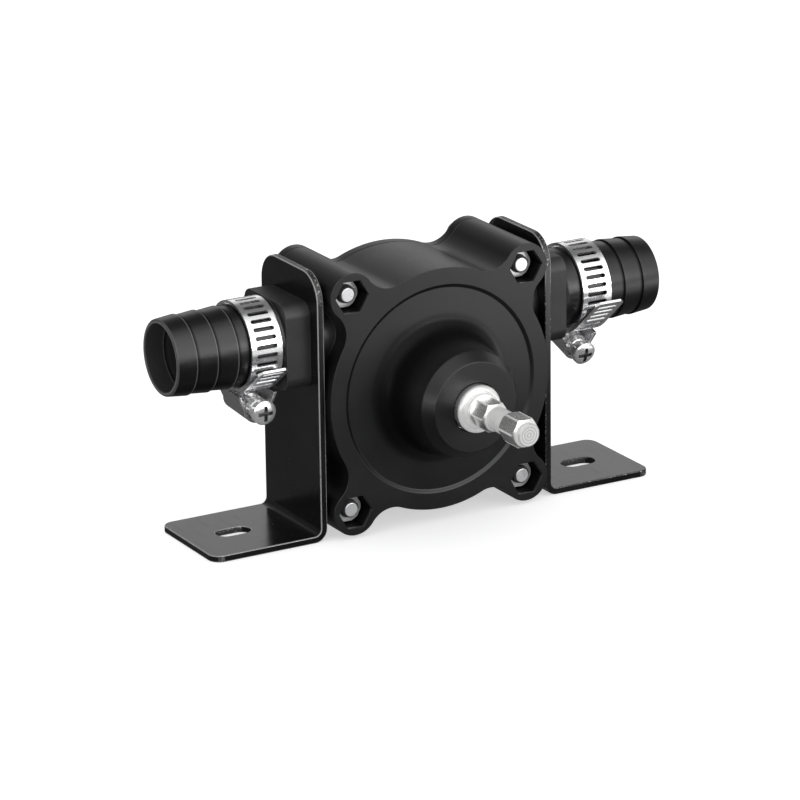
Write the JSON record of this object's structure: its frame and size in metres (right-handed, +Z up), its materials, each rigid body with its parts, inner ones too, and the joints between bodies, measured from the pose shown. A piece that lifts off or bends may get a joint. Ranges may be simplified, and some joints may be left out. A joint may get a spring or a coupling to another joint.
{
  "type": "drill powered pump",
  "caption": "Self-priming transfer pump head on foot brackets, driven by a drill through a hex shank, with hose barbs and worm-drive hose clamps.",
  "frame": {"origin": "floor point midway between the centres of the two foot slots, under the port axis", "axes": "+X along the two ports, -Y out of the drive shank, +Z up"},
  "size_m": [0.159, 0.0878, 0.079],
  "materials": {
    "body_plastic": "satin moulded",
    "barb_plastic": "satin moulded, fine grain on the flange",
    "bracket_paint": "gloss black paint",
    "zinc_steel": "bright zinc plate",
    "shaft_steel": "nickel plate",
    "clamp_steel": "bright rolled strip",
    "clamp_screw_steel": "bright plated",
    "bearing_steel": "ground",
    "spring_steel": "blackened",
    "stainless_plate": "rolled",
    "seal_rubber": "matte",
    "seal_ceramic": "lapped",
    "seal_carbon": "lapped",
    "impeller_plastic": "moulded",
    "cage_plastic": "moulded"
  },
  "bodies": {
    "mounting_brackets": {"left_bracket": "bracket_paint", "right_bracket": "bracket_paint"},
    "pump_head": {"pump_body": "body_plastic", "rear_cover": "body_plastic", "cover_seal": "seal_rubber", "wear_plate": "stainless_plate", "front_bearing_outer_ring": "bearing_steel", "rear_bearing_outer_ring": "bearing_steel", "bearing_circlip": "spring_steel", "seal_cup": "seal_rubber", "seal_seat": "seal_ceramic", "through_bolts": "zinc_steel", "bolt_washers": "zinc_steel", "hex_nuts": "zinc_steel", "left_hose_barb": "barb_plastic", "right_hose_barb": "barb_plastic", "left_port_seal": "seal_rubber", "right_port_seal": "seal_rubber"},
    "rotor": {"drive_shaft": "shaft_steel", "shaft_collar": "shaft_steel", "front_bearing_inner_ring": "bearing_steel", "rear_bearing_inner_ring": "bearing_steel", "bearing_spacer": "zinc_steel", "shaft_clip": "spring_steel", "seal_face_ring": "seal_carbon", "seal_spring": "spring_steel", "impeller": "impeller_plastic", "impeller_washer": "zinc_steel", "impeller_nut": "zinc_steel"},
    "front_ball_set": {"front_bearing_cage": "cage_plastic", "front_bearing_balls": "bearing_steel"},
    "rear_ball_set": {"rear_bearing_cage": "cage_plastic", "rear_bearing_balls": "bearing_steel"},
    "left_clamp": {"left_clamp_band": "clamp_steel", "left_clamp_housing": "clamp_steel"},
    "left_clamp_worm": {"left_clamp_screw": "clamp_screw_steel"},
    "right_clamp": {"right_clamp_band": "clamp_steel", "right_clamp_housing": "clamp_steel"},
    "right_clamp_worm": {"right_clamp_screw": "clamp_screw_steel"}
  },
  "joints": [
    {"name": "head_tilt", "type": "hinge", "parent": "mounting_brackets", "child": "pump_head", "pos_m": [0, 0, 0.0575], "axis": [1, 0, 0], "range_deg": [-3, 3]},
    {"name": "shaft_spin", "type": "hinge", "parent": "pump_head", "child": "rotor", "pos_m": [0, -0.02, 0.04], "axis": [0, -1, 0], "continuous": true},
    {"name": "front_balls_orbit", "type": "hinge", "parent": "pump_head", "child": "front_ball_set", "pos_m": [0, -0.03215, 0.04], "axis": [0, -1, 0], "continuous": true},
    {"name": "rear_balls_orbit", "type": "hinge", "parent": "pump_head", "child": "rear_ball_set", "pos_m": [0, -0.02015, 0.04], "axis": [0, -1, 0], "continuous": true},
    {"name": "left_clamp_slide", "type": "slide", "parent": "pump_head", "child": "left_clamp", "axis": [-1, 0, 0], "range_m": [0, 0.0222]},
    {"name": "left_clamp_screw_turn", "type": "hinge", "parent": "left_clamp", "child": "left_clamp_worm", "pos_m": [-0.0524, 0.00121, 0.04024], "axis": [0, -0.9976, -0.0698], "continuous": true},
    {"name": "right_clamp_slide", "type": "slide", "parent": "pump_head", "child": "right_clamp", "axis": [1, 0, 0], "range_m": [0, 0.018]},
    {"name": "right_clamp_screw_turn", "type": "hinge", "parent": "right_clamp", "child": "right_clamp_worm", "pos_m": [0.0567, 0.00535, 0.04105], "axis": [0, -0.9511, -0.309], "continuous": true}
  ],
  "couplings": [
    {"joint": "front_balls_orbit", "follows": "shaft_spin", "ratio": 0.37},
    {"joint": "rear_balls_orbit", "follows": "shaft_spin", "ratio": 0.37}
  ]
}
